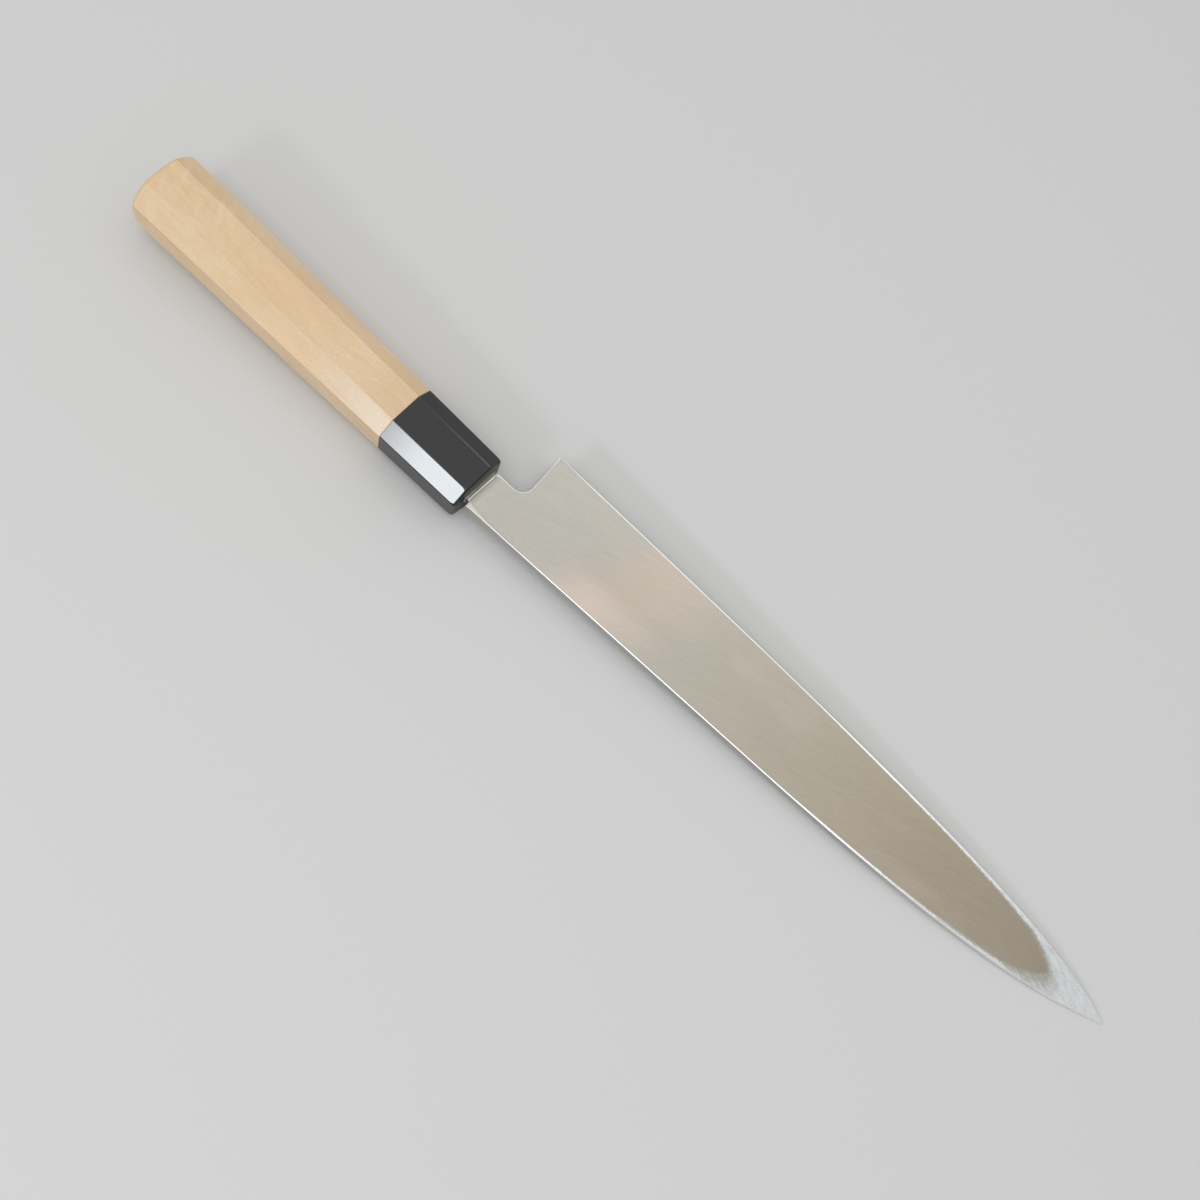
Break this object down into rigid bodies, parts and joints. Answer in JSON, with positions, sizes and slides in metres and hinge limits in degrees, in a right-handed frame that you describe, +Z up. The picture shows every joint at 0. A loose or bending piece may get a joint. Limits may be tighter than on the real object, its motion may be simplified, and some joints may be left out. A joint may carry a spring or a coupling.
{
  "type": "fish slicing knife",
  "caption": "Long single bevel Japanese slicing knife with hollow ground inner face, octagonal wooden handle and dark horn ferrule.",
  "frame": {"origin": "middle of the knife's bounding box in X and Y, on the surface that the knife lies on", "axes": "+X from the butt to the tip, +Y to the cutting edge, +Z up from the table, out of the hollow ground face"},
  "size_m": [0.373, 0.0372, 0.0235],
  "materials": {
    "steel": "satin hollow with bright stone polished rims and point",
    "magnolia": "bare pale magnolia, finely sanded",
    "horn": "polished black buffalo horn",
    "resin": "pale glossy sealing resin"
  },
  "bodies": {
    "root": {"blade": "steel", "handle_body": "magnolia", "ferrule": "horn", "mouth_seal": "resin"}
  },
  "joints": []
}
